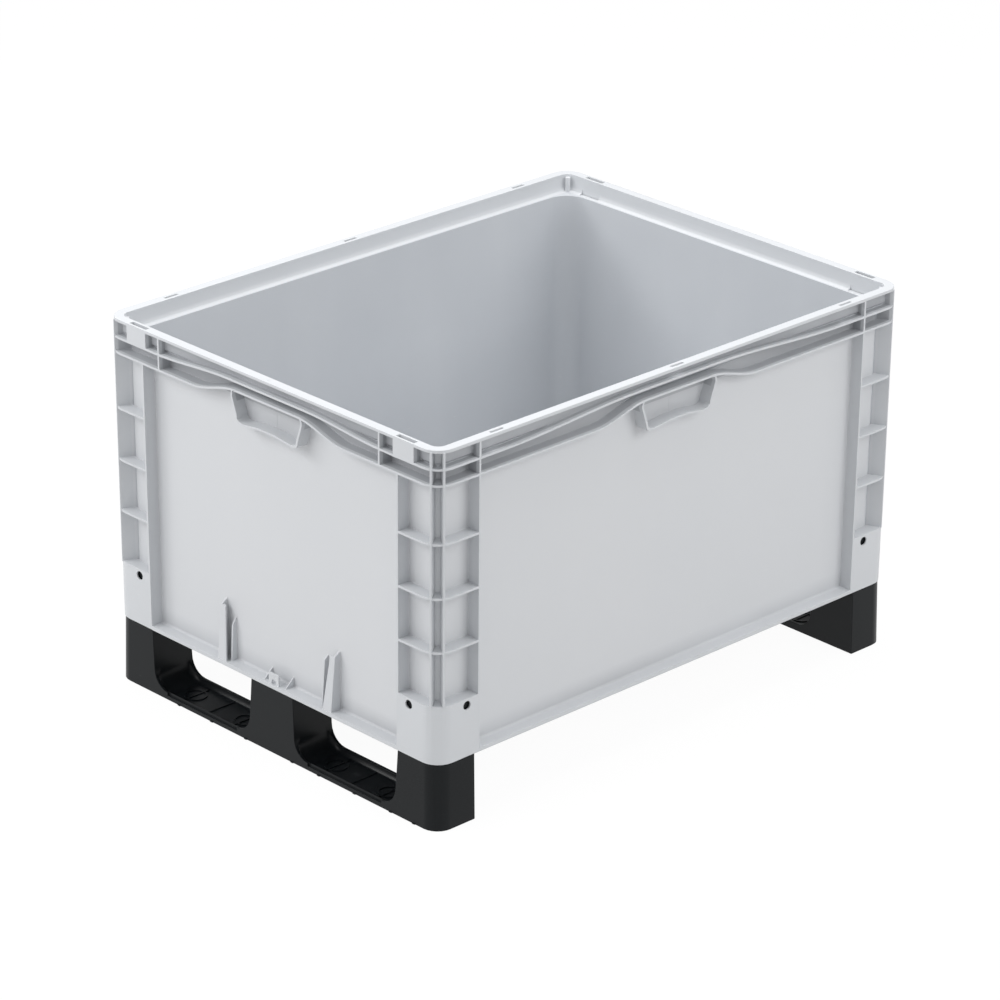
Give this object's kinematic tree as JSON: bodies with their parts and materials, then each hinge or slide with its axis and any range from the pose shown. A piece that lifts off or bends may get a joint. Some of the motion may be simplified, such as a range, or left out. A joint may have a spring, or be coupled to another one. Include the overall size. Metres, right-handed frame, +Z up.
{
  "type": "plastic euro container with skid runners",
  "caption": "Light grey stacking container with ribbed corner columns, closed handles and black skid runners that lift it for pallet forks.",
  "frame": {"origin": "middle of the footprint on the floor the runners stand on", "axes": "+X along the long side, +Y along the short side, +Z up"},
  "size_m": [0.8, 0.6, 0.494],
  "materials": {
    "grey_plastic": "satin moulded polypropylene",
    "black_plastic": "semi-gloss moulded polypropylene"
  },
  "bodies": {
    "root": {"container_tub": "grey_plastic", "runner_left": "black_plastic", "runner_right": "black_plastic"}
  },
  "joints": []
}
